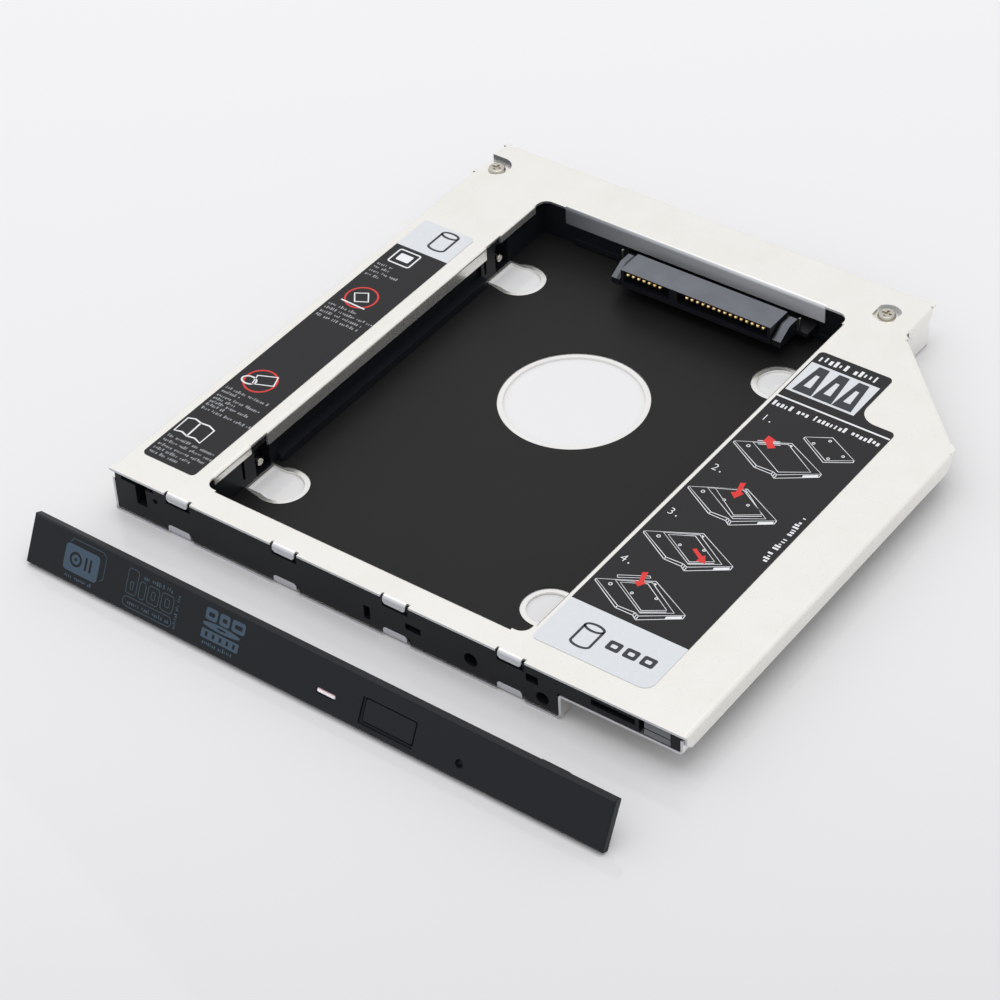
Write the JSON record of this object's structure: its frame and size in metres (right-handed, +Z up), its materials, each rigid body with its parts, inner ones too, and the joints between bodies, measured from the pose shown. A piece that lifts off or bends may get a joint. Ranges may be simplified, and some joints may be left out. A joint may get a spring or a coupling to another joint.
{
  "type": "laptop drive caddy",
  "caption": "Folded sheet-metal tray on a moulded frame that carries a laptop drive in a slim optical bay, with its rear connector board and its front bezel lying beside it.",
  "frame": {"origin": "middle of the footprint, on the surface that the caddy and its bezel stand on", "axes": "+X to the right along the caddy's front edge, +Y from the front edge to the rear plug, +Z up"},
  "size_m": [0.131, 0.1486, 0.0096],
  "materials": {
    "top_sheet": "satin zinc-coated sheet steel, folded",
    "bottom_sheet": "satin zinc-coated sheet steel, folded",
    "frame_plastic": "black moulded plastic",
    "film": "black insulating film, half gloss",
    "pin_metal": "bright plated steel",
    "clip_metal": "grey spring steel strip",
    "connector_plastic": "black glass-filled plastic",
    "contact_plating": "gold-plated spring contacts",
    "lock_metal": "tinned steel",
    "board": "black solder mask",
    "screw_metal": "nickel-plated steel",
    "label_print": "printed film label, satin",
    "bezel_plastic": "black moulded plastic, satin",
    "button_plastic": "black moulded plastic, satin",
    "lens": "milky clear plastic"
  },
  "bodies": {
    "caddy": {"top_cover": "top_sheet", "bottom_cover": "bottom_sheet", "inner_frame": "frame_plastic", "insulator_film": "film", "side_pins": "pin_metal", "wing_clip": "clip_metal", "drive_connector": "connector_plastic", "drive_signal_contacts": "contact_plating", "drive_power_contacts": "contact_plating", "connector_locks": "lock_metal", "adapter_board": "board", "board_screws": "screw_metal", "host_connector": "connector_plastic", "host_signal_contacts": "contact_plating", "host_power_contacts": "contact_plating", "rear_left_screw": "screw_metal", "rear_right_screw": "screw_metal", "left_label": "label_print", "right_label": "label_print", "bezel": "bezel_plastic", "led_lens": "lens"},
    "button": {"eject_button": "button_plastic"}
  },
  "joints": [
    {"name": "eject_button_press", "type": "slide", "parent": "caddy", "child": "button", "axis": [0.0081, 0.8964, -0.4432], "range_m": [0, 0.0004], "stiffness_N_per_m": 500}
  ]
}
